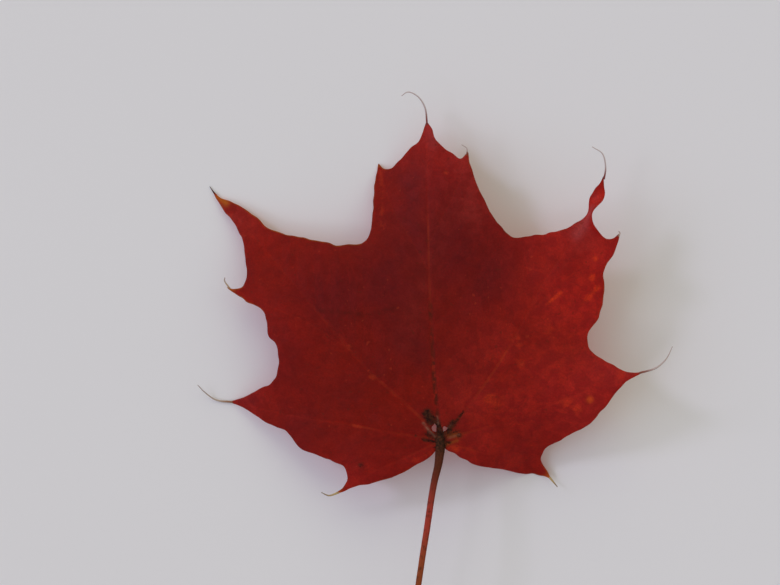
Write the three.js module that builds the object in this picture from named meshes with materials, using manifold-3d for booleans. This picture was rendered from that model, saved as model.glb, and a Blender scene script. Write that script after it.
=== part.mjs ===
// Norway maple leaf in autumn red: a five-lobed blade with bristle-tipped teeth, on a long leaf stalk.
//
// The leaf grew as one piece, so it is one closed solid: a thin sheet bent into its resting shape,
// the main veins that stand out below it, the bristles that its lobes and teeth end in, and the stalk.
//
// Units are millimetres. All tables below use the leaf's own axes: the blade joins the stalk at
// x = 0, y = 0, the middle lobe points along +Y, and z is the height above the resting surface.
// The finished leaf is then moved so that its origin is the middle of its box, at the bottom.

import * as THREE from 'three';
import { mergeVertices } from 'three/addons/utils/BufferGeometryUtils.js';
import Module from 'manifold-3d';

const wasm = await Module();
wasm.setup();

// ---- Driving dimensions ----

const BLADE_THICKNESS = 0.35;
const SHEET_STEP = 3.8;          // spacing of the sheet's facets
const MARGIN_STEP = 1.6;         // spacing of the facets along the blade's edge
const VEIN_STEP = 5.5;           // spacing of the facets along a vein
const VEIN_TIP_RADIUS = 0.25;
const VEIN_SINK = 0.75;          // how far a vein's centre lies under the sheet, in vein radii
const BRISTLE_ROOT_RADIUS = 0.4;
const BRISTLE_TIP_RADIUS = 0.2;
const SLOPE_PROBE = 0.05;        // distance over which the sheet's slope is measured

// Where the sheet touches the resting surface, its middle runs this high.
const REST = BLADE_THICKNESS / 2;

// Landmarks of the sheet's relief, as [x, y, height of the sheet's middle]. The blade is a dome with
// raised right lobes, and it rests on its left lobes' tips, one top tooth and one tooth at the base.
const RELIEF = [
  [-0.1, 1.5, 14.5], [-0.1, 12.8, 15.0], [-0.9, 27.6, 14.8],           // stalk joint to the middle
  [-2.7, 45.1, 13.5], [-3.2, 59.9, 12.0], [-3.2, 77.7, 9.0],           // middle lobe
  [-3.4, 88.4, 8.0], [-16.8, 77.2, REST], [7.4, 79.7, 12.0],           // its tip and two teeth
  [-28.7, 54.3, 9.5], [-29.7, 34.3, 12.5], [-44.8, 49.2, 8.0],         // upper left lobe
  [-58.0, 61.1, 2.0], [-63.4, 70.8, REST], [-58.0, 43.1, 5.5],         // its tip and tooth
  [-43.8, 24.0, 10.0], [-27.0, 5.9, 11.5], [-44.9, 11.0, 6.0],         // lower left lobe
  [-57.9, 11.5, REST], [-28.2, -13.1, 7.5], [-14.9, -4.9, 12.0],       // its tip and the base tooth
  [13.6, -3.7, 9.5], [25.7, -8.1, REST], [30.5, -8.8, 1.5],            // right base tooth
  [27.8, -1.9, 5.0], [40.5, 6.8, 12.0], [32.1, 20.9, 15.5],            // lower right lobe
  [45.4, 20.4, 17.0], [53.2, 20.2, 18.5], [39.8, 28.9, 13.5],          // its tip and the bay above
  [18.7, 27.6, 15.5], [32.1, 46.4, 16.0], [47.9, 57.3, 18.0],          // upper right lobe
  [43.8, 72.9, 16.5], [19.9, 56.7, 12.5],                              // its tip and the bay above
];

// Sharp points of the blade's margin, where two stretches of it meet.
const POINTS = {
  baseLeft: [-1.0, -0.7],
  baseLeftTooth: [-28.5, -13.2],
  leftTip: [-57.9, 11.5],
  upperLeftTooth: [-58.0, 43.1],
  upperLeftTip: [-63.3, 71.0],
  topLeftTooth: [-16.8, 77.2],
  topTip: [-3.4, 88.4],
  topRightTooth: [7.4, 79.6],
  upperRightTip: [43.8, 73.0],
  upperRightTooth: [47.9, 57.3],
  rightTip: [54.5, 20.6],
  baseRightTooth: [31.2, -9.9],
  baseRight: [1.4, -0.3],
};

// The margin, clockwise from the stalk: each stretch is a smooth curve from one sharp point, through
// the points given, to the next sharp point.
const MARGIN = [
  ['baseLeft', [[-3.5, -3.1], [-8.6, -6.2], [-16.6, -9.5], [-23.1, -11.0]]],
  ['baseLeftTooth', [[-26.0, -10.9], [-25.0, -8.6], [-26.2, -5.6], [-31.4, -3.2], [-37.2, -1.0],
    [-41.8, 3.7], [-47.9, 6.5], [-54.4, 10.3]]],
  ['leftTip', [[-52.4, 13.3], [-49.6, 15.0], [-47.6, 16.0], [-45.7, 17.1], [-44.3, 19.4],
    [-43.7, 22.9], [-44.4, 27.5], [-46.2, 29.8], [-46.8, 32.1], [-47.8, 36.6], [-52.8, 39.5]]],
  ['upperLeftTooth', [[-56.1, 42.7], [-53.6, 43.4], [-52.6, 45.4], [-52.9, 50.6], [-54.1, 56.6],
    [-55.8, 59.8], [-59.6, 65.2], [-61.9, 68.6]]],
  ['upperLeftTip', [[-62.2, 69.6], [-60.3, 67.9], [-57.2, 66.6], [-54.5, 65.2], [-51.7, 63.5],
    [-49.2, 61.5], [-48.0, 60.1], [-46.2, 59.0], [-42.1, 57.5], [-37.5, 56.6], [-30.9, 55.4],
    [-28.1, 54.4], [-25.4, 54.8], [-21.1, 55.0], [-19.2, 57.0], [-18.2, 63.7], [-17.7, 71.0]]],
  ['topLeftTooth', [[-15.2, 75.6], [-13.0, 75.8], [-10.8, 78.1], [-8.0, 81.1], [-5.6, 83.0]]],
  ['topTip', [[-2.1, 86.1], [-1.4, 83.2], [2.7, 79.9], [5.4, 77.6]]],
  ['topRightTooth', [[8.6, 74.2], [12.1, 66.4], [15.9, 60.2], [19.9, 56.6], [25.8, 57.1],
    [32.7, 58.4], [36.2, 60.4], [38.5, 64.6], [40.0, 67.4], [42.0, 70.0]]],
  ['upperRightTip', [[43.9, 70.2], [44.0, 66.7], [42.8, 64.1], [42.2, 61.7], [42.0, 59.6],
    [42.7, 57.6], [44.4, 56.0], [46.2, 56.3]]],
  ['upperRightTooth', [[46.9, 53.3], [45.3, 50.5], [44.0, 48.7], [43.5, 46.6], [43.9, 42.4],
    [42.6, 35.1], [39.9, 31.1], [39.9, 27.1], [42.2, 24.5], [45.9, 22.5], [49.3, 20.6],
    [52.4, 20.3]]],
  ['rightTip', [[52.3, 19.5], [50.3, 18.4], [48.3, 16.7], [44.7, 11.6], [40.2, 6.1], [33.5, 2.1],
    [28.9, -1.0], [27.6, -3.9], [29.3, -7.0]]],
  ['baseRightTooth', [[27.8, -8.5], [22.3, -8.0], [15.7, -6.3], [8.7, -4.6], [4.2, -1.9]]],
  ['baseRight', []],
];

// Main veins, as the radius at the root and points from the stalk outwards.
const VEINS = [
  [0.95, [[-0.3, 3.4], [-1.7, 19.6], [-2.7, 39.7], [-3.2, 59.9], [-3.4, 85.0]]],
  [0.85, [[-0.5, 3.0], [-4.4, 7.2], [-11.7, 14.0], [-18.9, 20.3], [-32.4, 35.6], [-47.6, 53.3],
    [-60.5, 67.0]]],
  [0.85, [[0.3, 3.0], [4.5, 7.3], [13.3, 19.0], [18.7, 27.6], [28.1, 45.1], [36.5, 57.5]]],
  [0.75, [[-0.6, 2.4], [-10.8, 3.7], [-24.3, 6.0], [-38.0, 7.9], [-55.5, 11.2]]],
  [0.75, [[0.6, 2.4], [8.0, 4.2], [21.6, 8.1], [36.2, 14.2], [50.5, 19.6]]],
  [0.55, [[-0.8, 1.5], [-10.8, -3.4], [-18.9, -7.1], [-26.0, -11.5]]],
  [0.55, [[0.8, 1.5], [10.8, -1.4], [20.7, -5.0], [29.0, -8.6]]],
];

// Bristles at the sharp points, as [x, y, z] from the blade outwards.
const BRISTLES = [
  [[-27.6, -12.8, 7.6], [-30.1, -13.6, 7.2], [-32.2, -12.7, 7.8]],
  [[-57.0, 11.6, 0.5], [-61.5, 12.1, 0.5], [-64.5, 14.3, 1.6], [-66.3, 16.3, 2.8]],
  [[-57.4, 42.8, 5.6], [-58.7, 44.9, 5.4], [-58.6, 45.8, 5.6]],
  [[-3.4, 87.6, 8.1], [-4.0, 91.9, 8.4], [-5.9, 94.9, 8.6], [-8.6, 96.2, 8.2], [-10.4, 95.2, 7.6]],
  [[7.2, 79.0, 12.0], [7.2, 80.6, 12.2], [5.8, 81.6, 12.4]],
  [[43.8, 72.2, 16.5], [44.2, 75.1, 16.8], [43.3, 78.8, 17.2], [40.6, 80.7, 16.8]],
  [[53.2, 20.3, 18.4], [57.4, 21.6, 19.2], [60.2, 24.1, 19.0], [61.9, 27.3, 18.4]],
  [[30.6, -9.3, 1.5], [31.6, -10.6, 2.4], [32.4, -11.6, 3.6]],
];

// Small holes through the sheet in the forks beside the midrib, as [x, y, half width, half length].
const FORK_HOLES = [
  [-1.6, 5.25, 0.7, 1.2],
  [1.3, 5.0, 0.75, 0.8],
];

// The stalk, as [x, y, z, radius] from inside the blade's base to its swollen foot on the surface.
const STALK = [
  [-0.1, 5.0, 14.1, 0.7], [0.0, 2.2, 13.9, 1.2], [0.0, -0.4, 14.0, 1.25], [-0.5, -4.5, 14.7, 1.05],
  [-1.6, -9.0, 15.6, 0.92], [-2.6, -14.7, 16.5, 0.87], [-3.6, -21.5, 17.1, 0.85],
  [-4.7, -28.4, 17.1, 0.82], [-6.1, -38.0, 16.2, 0.8], [-7.8, -49.0, 13.8, 0.78],
  [-9.9, -60.0, 10.4, 0.8], [-12.5, -71.0, 6.5, 0.87], [-15.3, -79.5, 3.8, 1.05],
  [-17.4, -84.5, 2.5, 1.55], [-18.6, -87.2, 1.95, 1.9], [-19.0, -88.2, 1.8, 1.6],
];

// The tip of the upper right lobe is rolled about the line from ROLL_START to ROLL_END.
const ROLL_START = new THREE.Vector2(37.9, 57.9);
const ROLL_END = new THREE.Vector2(43.8, 73.2);
const ROLL_ANGLE = THREE.MathUtils.degToRad(68);
const ROLL_CENTRE = 5.5;         // distance along the line where the roll is fullest
const ROLL_LENGTH = 3.8;         // how quickly the roll fades along the line
const ROLL_EASE = 3.0;           // the roll starts over this distance
const ROLL_REACH = [3.5, 7.0];   // the roll fades between these distances from the line

// ---- Relief of the sheet ----

// Solves the square linear system rows * x = values, by elimination with row swaps.
function solveLinear(rows, values) {
  const size = rows.length;
  const system = rows.map((row, index) => [...row, values[index]]);
  for (let column = 0; column < size; column += 1) {
    let pivot = column;
    for (let row = column + 1; row < size; row += 1) {
      if (Math.abs(system[row][column]) > Math.abs(system[pivot][column])) pivot = row;
    }
    [system[column], system[pivot]] = [system[pivot], system[column]];
    for (let row = 0; row < size; row += 1) {
      if (row === column) continue;
      const factor = system[row][column] / system[column][column];
      for (let k = column; k <= size; k += 1) system[row][k] -= factor * system[column][k];
    }
  }
  return system.map((row, index) => row[size] / row[index]);
}

// The bending kernel of a thin plate, for a squared distance.
function plateKernel(squared) {
  return squared > 0 ? squared * Math.log(squared) : 0;
}

// Bends a thin plate through the landmarks and returns its height as a function of x and y.
function bentPlate(landmarks) {
  const rows = landmarks.map(([x, y]) => [
    ...landmarks.map(([u, v]) => plateKernel((x - u) ** 2 + (y - v) ** 2)), 1, x, y,
  ]);
  const ones = landmarks.map(() => 1);
  const xs = landmarks.map((landmark) => landmark[0]);
  const ys = landmarks.map((landmark) => landmark[1]);
  for (const row of [ones, xs, ys]) rows.push([...row, 0, 0, 0]);
  const heights = landmarks.map((landmark) => landmark[2]);
  const weights = solveLinear(rows, [...heights, 0, 0, 0]);
  const [level, tiltX, tiltY] = weights.slice(landmarks.length);
  return (x, y) => landmarks.reduce(
    (sum, [u, v], index) => sum + weights[index] * plateKernel((x - u) ** 2 + (y - v) ** 2),
    level + tiltX * x + tiltY * y,
  );
}

const sheetHeight = bentPlate(RELIEF);

function sheetNormal(x, y) {
  const slopeX = (sheetHeight(x + SLOPE_PROBE, y) - sheetHeight(x - SLOPE_PROBE, y)) / (2 * SLOPE_PROBE);
  const slopeY = (sheetHeight(x, y + SLOPE_PROBE) - sheetHeight(x, y - SLOPE_PROBE)) / (2 * SLOPE_PROBE);
  return new THREE.Vector3(-slopeX, -slopeY, 1).normalize();
}

// ---- Solids ----

function toManifold(geometry) {
  const bare = geometry.index ? geometry.clone() : geometry;
  bare.deleteAttribute('normal');
  bare.deleteAttribute('uv');
  const merged = mergeVertices(bare, 1e-4);
  return new wasm.Manifold(new wasm.Mesh({
    numProp: 3,
    vertProperties: new Float32Array(merged.attributes.position.array),
    triVerts: new Uint32Array(merged.index.array),
  }));
}

function toGeometry(manifold) {
  const { vertProperties, triVerts } = manifold.getMesh();
  const geometry = new THREE.BufferGeometry();
  geometry.setAttribute('position', new THREE.BufferAttribute(vertProperties, 3));
  geometry.setIndex(new THREE.BufferAttribute(triVerts, 1));
  return geometry;
}

// The margin as one closed ring of points, with its stretches as smooth curves.
function marginRing() {
  const ring = [];
  MARGIN.forEach(([start, between], index) => {
    const end = MARGIN[(index + 1) % MARGIN.length][0];
    const controls = [POINTS[start], ...between, POINTS[end]];
    const curve = new THREE.CatmullRomCurve3(controls.map(([x, y]) => new THREE.Vector3(x, y, 0)));
    const count = Math.ceil(curve.getLength() / MARGIN_STEP);
    for (const point of curve.getSpacedPoints(count).slice(0, -1)) {
      ring.push(new THREE.Vector2(point.x, point.y));
    }
  });
  return ring;
}

// A grid of facets over the whole leaf, bent to the relief, with the blade's thickness.
function bentSlab(box) {
  const size = box.getSize(new THREE.Vector2()).addScalar(2 * SHEET_STEP);
  const centre = box.getCenter(new THREE.Vector2());
  const across = Math.round(size.x / SHEET_STEP);
  const along = Math.round(size.y / SHEET_STEP);
  const slab = new THREE.BoxGeometry(size.x, size.y, BLADE_THICKNESS, across, along, 1);
  slab.translate(centre.x, centre.y, 0);
  const position = slab.attributes.position;
  for (let i = 0; i < position.count; i += 1) {
    const x = position.getX(i);
    const y = position.getY(i);
    const offset = sheetNormal(x, y).multiplyScalar(position.getZ(i));
    position.setXYZ(i, x + offset.x, y + offset.y, sheetHeight(x, y) + offset.z);
  }
  return slab;
}

// A tall prism with the blade's outline, used to cut the blade out of the bent slab.
function outlinePrism(ring) {
  const depth = 80;
  const prism = new THREE.ExtrudeGeometry(new THREE.Shape(ring), { depth, bevelEnabled: false });
  return prism.translate(0, 0, -depth / 2);
}

function forkHole([x, y, halfWidth, halfLength]) {
  const drill = new THREE.CylinderGeometry(1, 1, 80, 12);
  drill.rotateX(Math.PI / 2).scale(halfWidth, halfLength, 1);
  return drill.translate(x, y, 0);
}

// A closed tube through stations of [x, y, z, radius], with flat ends.
function taperedTube(stations, sides, step) {
  const centres = stations.map(([x, y, z]) => new THREE.Vector3(x, y, z));
  const curve = new THREE.CatmullRomCurve3(centres);
  const rings = Math.max(2, Math.ceil(curve.getLength() / step));
  const frames = curve.computeFrenetFrames(rings);
  const lengths = stations.map((_, i) => lengthTo(curve, i / (stations.length - 1)));
  const vertices = [];
  const faces = [];
  for (let i = 0; i <= rings; i += 1) {
    const centre = curve.getPointAt(i / rings);
    const radius = radiusAt(stations, lengths, i / rings);
    for (let j = 0; j < sides; j += 1) {
      const angle = (2 * Math.PI * j) / sides;
      const rim = centre.clone()
        .addScaledVector(frames.normals[i], radius * Math.cos(angle))
        .addScaledVector(frames.binormals[i], radius * Math.sin(angle));
      vertices.push(...rim.toArray());
    }
  }
  const ringVertex = (i, j) => i * sides + (j % sides);
  for (let i = 0; i < rings; i += 1) {
    for (let j = 0; j < sides; j += 1) {
      const corner = ringVertex(i, j);
      const beside = ringVertex(i, j + 1);
      const ahead = ringVertex(i + 1, j);
      const opposite = ringVertex(i + 1, j + 1);
      faces.push(corner, beside, ahead, beside, opposite, ahead);
    }
  }
  const startCentre = vertices.length / 3;
  const endCentre = startCentre + 1;
  vertices.push(...curve.getPointAt(0).toArray(), ...curve.getPointAt(1).toArray());
  for (let j = 0; j < sides; j += 1) {
    faces.push(startCentre, ringVertex(0, j + 1), ringVertex(0, j));
    faces.push(endCentre, ringVertex(rings, j), ringVertex(rings, j + 1));
  }
  const tube = new THREE.BufferGeometry();
  tube.setAttribute('position', new THREE.Float32BufferAttribute(vertices, 3));
  tube.setIndex(faces);
  return tube;
}

// The share of a curve's length that lies before its parameter t.
function lengthTo(curve, t) {
  const lengths = curve.getLengths();
  return lengths[Math.round(t * (lengths.length - 1))] / lengths[lengths.length - 1];
}

// The tube radius at a share of the length, between the radii of its stations.
function radiusAt(stations, lengths, share) {
  const next = Math.min(lengths.length - 1, Math.max(1, lengths.findIndex((length) => length >= share)));
  const part = (share - lengths[next - 1]) / (lengths[next] - lengths[next - 1]);
  return THREE.MathUtils.lerp(stations[next - 1][3], stations[next][3], THREE.MathUtils.clamp(part, 0, 1));
}

function vein([rootRadius, points]) {
  const path = new THREE.CatmullRomCurve3(points.map(([x, y]) => new THREE.Vector3(x, y, 0)));
  const count = Math.ceil(path.getLength() / VEIN_STEP);
  const stations = path.getSpacedPoints(count).map(({ x, y }, index) => {
    const radius = THREE.MathUtils.lerp(rootRadius, VEIN_TIP_RADIUS, index / count);
    return [x, y, sheetHeight(x, y) - VEIN_SINK * radius, radius];
  });
  return taperedTube(stations, 6, VEIN_STEP);
}

function bristle(points) {
  const last = points.length - 1;
  const stations = points.map((point, index) => [
    ...point, THREE.MathUtils.lerp(BRISTLE_ROOT_RADIUS, BRISTLE_TIP_RADIUS, index / last),
  ]);
  return taperedTube(stations, 5, 1.5);
}

// Turns the points around the upper right lobe's tip about its own middle line.
function rollTip(geometry) {
  const along = ROLL_END.clone().sub(ROLL_START).normalize();
  const axis = new THREE.Vector3(along.x, along.y, 0);
  const position = geometry.attributes.position;
  for (let i = 0; i < position.count; i += 1) {
    const point = new THREE.Vector3().fromBufferAttribute(position, i);
    const offset = new THREE.Vector2(point.x, point.y).sub(ROLL_START);
    const distance = offset.dot(along);
    const aside = Math.abs(offset.cross(along));
    const fade = Math.exp(-(((distance - ROLL_CENTRE) / ROLL_LENGTH) ** 2));
    const angle = ROLL_ANGLE * fade * THREE.MathUtils.smoothstep(distance, 0, ROLL_EASE)
      * (1 - THREE.MathUtils.smoothstep(aside, ...ROLL_REACH));
    const foot = ROLL_START.clone().addScaledVector(along, distance);
    const pivot = new THREE.Vector3(foot.x, foot.y, sheetHeight(foot.x, foot.y));
    point.sub(pivot).applyAxisAngle(axis, -angle).add(pivot);
    position.setXYZ(i, ...point.toArray());
  }
  return geometry;
}

function leafSolid() {
  const ring = marginRing();
  const box = new THREE.Box2().setFromPoints(ring);
  let solid = toManifold(bentSlab(box)).intersect(toManifold(outlinePrism(ring)));
  for (const entry of VEINS) solid = solid.add(toManifold(vein(entry)));
  for (const points of BRISTLES) solid = solid.add(toManifold(bristle(points)));
  for (const hole of FORK_HOLES) solid = solid.subtract(toManifold(forkHole(hole)));
  solid = solid.add(toManifold(taperedTube(STALK, 10, 3)));
  return rollTip(toGeometry(solid));
}

function leafMaterial() {
  return new THREE.MeshStandardMaterial({ color: 0x731816, roughness: 0.62, metalness: 0 });
}

// ---- The leaf, standing on its own lowest points ----

const leaf = new THREE.Mesh(leafSolid(), leafMaterial());
leaf.name = 'maple_leaf';
leaf.geometry.computeBoundingBox();
const middle = leaf.geometry.boundingBox.getCenter(new THREE.Vector3());
leaf.position.set(-middle.x, -middle.y, -leaf.geometry.boundingBox.min.z);

const part = new THREE.Group();
part.add(leaf);

export default part;
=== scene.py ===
# The looks of the autumn maple leaf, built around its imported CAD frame.
#
# The tables are in millimetres, in the leaf's own axes: the blade joins its stalk at x = 0, y = 0,
# the middle lobe points along +Y, and z is the height above the surface that the leaf lies on.

import math

import bpy
import numpy as np
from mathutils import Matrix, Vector, geometry, kdtree, noise


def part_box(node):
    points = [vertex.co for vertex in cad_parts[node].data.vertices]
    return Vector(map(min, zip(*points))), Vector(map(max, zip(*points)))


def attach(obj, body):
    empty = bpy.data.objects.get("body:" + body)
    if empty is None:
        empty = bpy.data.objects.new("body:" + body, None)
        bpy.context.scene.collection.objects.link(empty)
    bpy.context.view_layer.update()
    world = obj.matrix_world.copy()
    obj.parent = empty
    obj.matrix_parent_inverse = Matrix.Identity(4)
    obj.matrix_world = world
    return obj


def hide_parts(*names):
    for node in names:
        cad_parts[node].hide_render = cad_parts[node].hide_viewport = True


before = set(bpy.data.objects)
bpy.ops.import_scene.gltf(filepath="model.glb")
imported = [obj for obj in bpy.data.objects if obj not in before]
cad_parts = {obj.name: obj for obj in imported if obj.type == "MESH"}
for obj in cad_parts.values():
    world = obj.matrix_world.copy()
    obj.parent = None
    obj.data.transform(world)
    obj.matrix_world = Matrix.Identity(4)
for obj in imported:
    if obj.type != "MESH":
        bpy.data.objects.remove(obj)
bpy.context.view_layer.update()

MM = 0.001
NODE = "maple_leaf"

# How far the stalk joint lies from the low corner of the leaf's box.
JOINT_FROM_CORNER = Vector((66.457, 88.81, 0.05))

# ---- Shape of the leaf, as in the CAD model ----

BLADE_THICKNESS = 0.24
REST = 0.175                     # the sheet's middle runs this high where it touches the surface

# Landmarks of the sheet's relief, as x, y and the height of the sheet's middle.
RELIEF = [
    (-0.1, 1.5, 14.5), (-0.1, 12.8, 15.0), (-0.9, 27.6, 14.8),          # stalk joint to the middle
    (-2.7, 45.1, 13.5), (-3.2, 59.9, 12.0), (-3.2, 77.7, 9.0),          # middle lobe
    (-3.4, 88.4, 8.0), (-16.8, 77.2, REST), (7.4, 79.7, 12.0),          # its tip and two teeth
    (-28.7, 54.3, 9.5), (-29.7, 34.3, 12.5), (-44.8, 49.2, 8.0),        # upper left lobe
    (-58.0, 61.1, 2.0), (-63.4, 70.8, REST), (-58.0, 43.1, 5.5),        # its tip and tooth
    (-43.8, 24.0, 10.0), (-27.0, 5.9, 11.5), (-44.9, 11.0, 6.0),        # lower left lobe
    (-57.9, 11.5, REST), (-28.2, -13.1, 7.5), (-14.9, -4.9, 12.0),      # its tip and the base tooth
    (13.6, -3.7, 9.5), (25.7, -8.1, REST), (30.5, -8.8, 1.5),           # right base tooth
    (27.8, -1.9, 5.0), (40.5, 6.8, 12.0), (32.1, 20.9, 15.5),           # lower right lobe
    (45.4, 20.4, 17.0), (53.2, 20.2, 18.5), (39.8, 28.9, 13.5),         # its tip and the bay above
    (18.7, 27.6, 15.5), (32.1, 46.4, 16.0), (47.9, 57.3, 18.0),         # upper right lobe
    (43.8, 72.9, 16.5), (19.9, 56.7, 12.5),                             # its tip and the bay above
]

# The margin, clockwise from the stalk: each stretch is a smooth curve from its sharp point, through
# the points after it, to the next stretch's sharp point.
MARGIN = [
    [(-1.0, -0.7), (-3.5, -3.1), (-8.6, -6.2), (-16.6, -9.5), (-23.1, -11.0)],
    [(-28.5, -13.2), (-26.0, -10.9), (-25.0, -8.6), (-26.2, -5.6), (-31.4, -3.2), (-37.2, -1.0),
     (-41.8, 3.7), (-47.9, 6.5), (-54.4, 10.3)],
    [(-57.9, 11.5), (-52.4, 13.3), (-49.6, 15.0), (-47.6, 16.0), (-45.7, 17.1), (-44.3, 19.4),
     (-43.7, 22.9), (-44.4, 27.5), (-46.2, 29.8), (-46.8, 32.1), (-47.8, 36.6), (-52.8, 39.5)],
    [(-58.0, 43.1), (-56.1, 42.7), (-53.6, 43.4), (-52.6, 45.4), (-52.9, 50.6), (-54.1, 56.6),
     (-55.8, 59.8), (-59.6, 65.2), (-61.9, 68.6)],
    [(-63.3, 71.0), (-62.2, 69.6), (-60.3, 67.9), (-57.2, 66.6), (-54.5, 65.2), (-51.7, 63.5),
     (-49.2, 61.5), (-48.0, 60.1), (-46.2, 59.0), (-42.1, 57.5), (-37.5, 56.6), (-30.9, 55.4),
     (-28.1, 54.4), (-25.4, 54.8), (-21.1, 55.0), (-19.2, 57.0), (-18.2, 63.7), (-17.7, 71.0)],
    [(-16.8, 77.2), (-15.2, 75.6), (-13.0, 75.8), (-10.8, 78.1), (-8.0, 81.1), (-5.6, 83.0)],
    [(-3.4, 88.4), (-2.1, 86.1), (-1.4, 83.2), (2.7, 79.9), (5.4, 77.6)],
    [(7.4, 79.6), (8.6, 74.2), (12.1, 66.4), (15.9, 60.2), (19.9, 56.6), (25.8, 57.1),
     (32.7, 58.4), (36.2, 60.4), (38.5, 64.6), (40.0, 67.4), (42.0, 70.0)],
    [(43.8, 73.0), (43.9, 70.2), (44.0, 66.7), (42.8, 64.1), (42.2, 61.7), (42.0, 59.6),
     (42.7, 57.6), (44.4, 56.0), (46.2, 56.3)],
    [(47.9, 57.3), (46.9, 53.3), (45.3, 50.5), (44.0, 48.7), (43.5, 46.6), (43.9, 42.4),
     (42.6, 35.1), (39.9, 31.1), (39.9, 27.1), (42.2, 24.5), (45.9, 22.5), (49.3, 20.6),
     (52.4, 20.3)],
    [(54.5, 20.6), (52.3, 19.5), (50.3, 18.4), (48.3, 16.7), (44.7, 11.6), (40.2, 6.1), (33.5, 2.1),
     (28.9, -1.0), (27.6, -3.9), (29.3, -7.0)],
    [(31.2, -9.9), (27.8, -8.5), (22.3, -8.0), (15.7, -6.3), (8.7, -4.6), (4.2, -1.9)],
    [(1.4, -0.3)],
]

# Main veins, as the radius at the root, the radius at the tip and points from the stalk outwards.
MAIN_VEINS = [
    (0.95, 0.2, [(-0.3, 3.4), (-1.7, 19.6), (-2.7, 39.7), (-3.2, 59.9), (-3.4, 87.0)]),
    (0.85, 0.2, [(-0.5, 3.0), (-4.4, 7.2), (-11.7, 14.0), (-18.9, 20.3), (-32.4, 35.6),
                 (-47.6, 53.3), (-62.4, 69.4)]),
    (0.85, 0.2, [(0.3, 3.0), (4.5, 7.3), (13.3, 19.0), (18.7, 27.6), (28.1, 45.1), (36.5, 57.5),
                 (43.2, 71.2)]),
    (0.75, 0.2, [(-0.6, 2.4), (-10.8, 3.7), (-24.3, 6.0), (-38.0, 7.9), (-56.6, 11.4)]),
    (0.75, 0.2, [(0.6, 2.4), (8.0, 4.2), (21.6, 8.1), (36.2, 14.2), (51.8, 19.9)]),
    (0.55, 0.18, [(-0.8, 1.5), (-10.8, -3.4), (-18.9, -7.1), (-27.3, -12.5)]),
    (0.55, 0.18, [(0.8, 1.5), (10.8, -1.4), (20.7, -5.0), (30.3, -9.2)]),
]

# Veins that leave a main vein for a tooth.
TOOTH_VEINS = [
    (0.42, 0.15, [(-2.9, 47.0), (-7.0, 54.5), (-12.6, 64.0), (-16.5, 76.0)]),
    (0.42, 0.15, [(-3.1, 55.0), (0.6, 62.0), (4.4, 70.0), (7.2, 78.4)]),
    (0.42, 0.15, [(-24.0, 26.0), (-34.0, 32.5), (-46.0, 38.0), (-56.8, 42.6)]),
    (0.42, 0.15, [(23.0, 35.5), (31.0, 43.0), (40.0, 50.5), (47.2, 56.6)]),
]

# The stalk, as x, y, z and radius from inside the blade's base to its swollen foot.
STALK = [
    (-0.1, 5.0, 14.1, 0.7), (0.0, 2.2, 13.9, 1.2), (0.0, -0.4, 14.0, 1.25), (-0.5, -4.5, 14.7, 1.05),
    (-1.6, -9.0, 15.6, 0.92), (-2.6, -14.7, 16.5, 0.87), (-3.6, -21.5, 17.1, 0.85),
    (-4.7, -28.4, 17.1, 0.82), (-6.1, -38.0, 16.2, 0.8), (-7.8, -49.0, 13.8, 0.78),
    (-9.9, -60.0, 10.4, 0.8), (-12.5, -71.0, 6.5, 0.87), (-15.3, -79.5, 3.8, 1.05),
    (-17.4, -84.5, 2.5, 1.55), (-18.6, -87.2, 1.95, 1.9), (-19.0, -88.2, 1.8, 1.6),
]

# Bristles, as the root radius, how yellow the bristle is, and points from the blade outwards.
BRISTLES = [
    (0.32, 1.0, [(-27.4, -12.7, 7.6), (-30.1, -13.6, 7.2), (-32.2, -12.7, 7.8)]),
    (0.27, 0.35, [(-56.8, 11.5, 0.5), (-61.5, 12.1, 0.5), (-64.5, 14.3, 1.6), (-66.3, 16.3, 2.8)]),
    (0.24, 0.6, [(-57.2, 42.7, 5.6), (-58.7, 44.9, 5.4), (-58.6, 45.8, 5.6)]),
    (0.26, 0.0, [(-3.4, 87.2, 8.1), (-4.0, 91.9, 8.4), (-5.9, 94.9, 8.6), (-8.6, 96.2, 8.2),
                 (-10.4, 95.2, 7.6)]),
    (0.22, 0.1, [(7.2, 78.8, 12.0), (7.2, 80.6, 12.2), (5.8, 81.6, 12.4)]),
    (0.26, 0.0, [(43.8, 72.0, 16.5), (44.2, 75.1, 16.8), (43.3, 78.8, 17.2), (40.6, 80.7, 16.8)]),
    (0.24, 0.3, [(47.5, 56.6, 17.9), (47.9, 57.6, 18.0), (47.5, 58.1, 18.1)]),
    (0.3, 0.1, [(53.0, 20.2, 18.4), (57.4, 21.6, 19.2), (60.2, 24.1, 19.0), (61.9, 27.3, 18.4)]),
    (0.34, 1.0, [(30.4, -9.2, 1.5), (31.6, -10.6, 2.4), (32.4, -11.6, 3.6)]),
]
BRISTLE_TIP_RADIUS = 0.1

# Small holes in the forks beside the midrib, as x, y, half width and half length.
FORK_HOLES = [(-1.6, 5.25, 0.7, 1.2), (1.3, 5.0, 0.75, 0.8)]

# The upper right lobe's tip is rolled about the line from ROLL_START to ROLL_END.
ROLL_START = np.array((37.9, 57.9))
ROLL_END = np.array((43.8, 73.2))
ROLL_ANGLE = math.radians(68)
ROLL_CENTRE, ROLL_LENGTH, ROLL_EASE = 5.5, 3.8, 3.0
ROLL_REACH = (3.5, 7.0)

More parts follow.
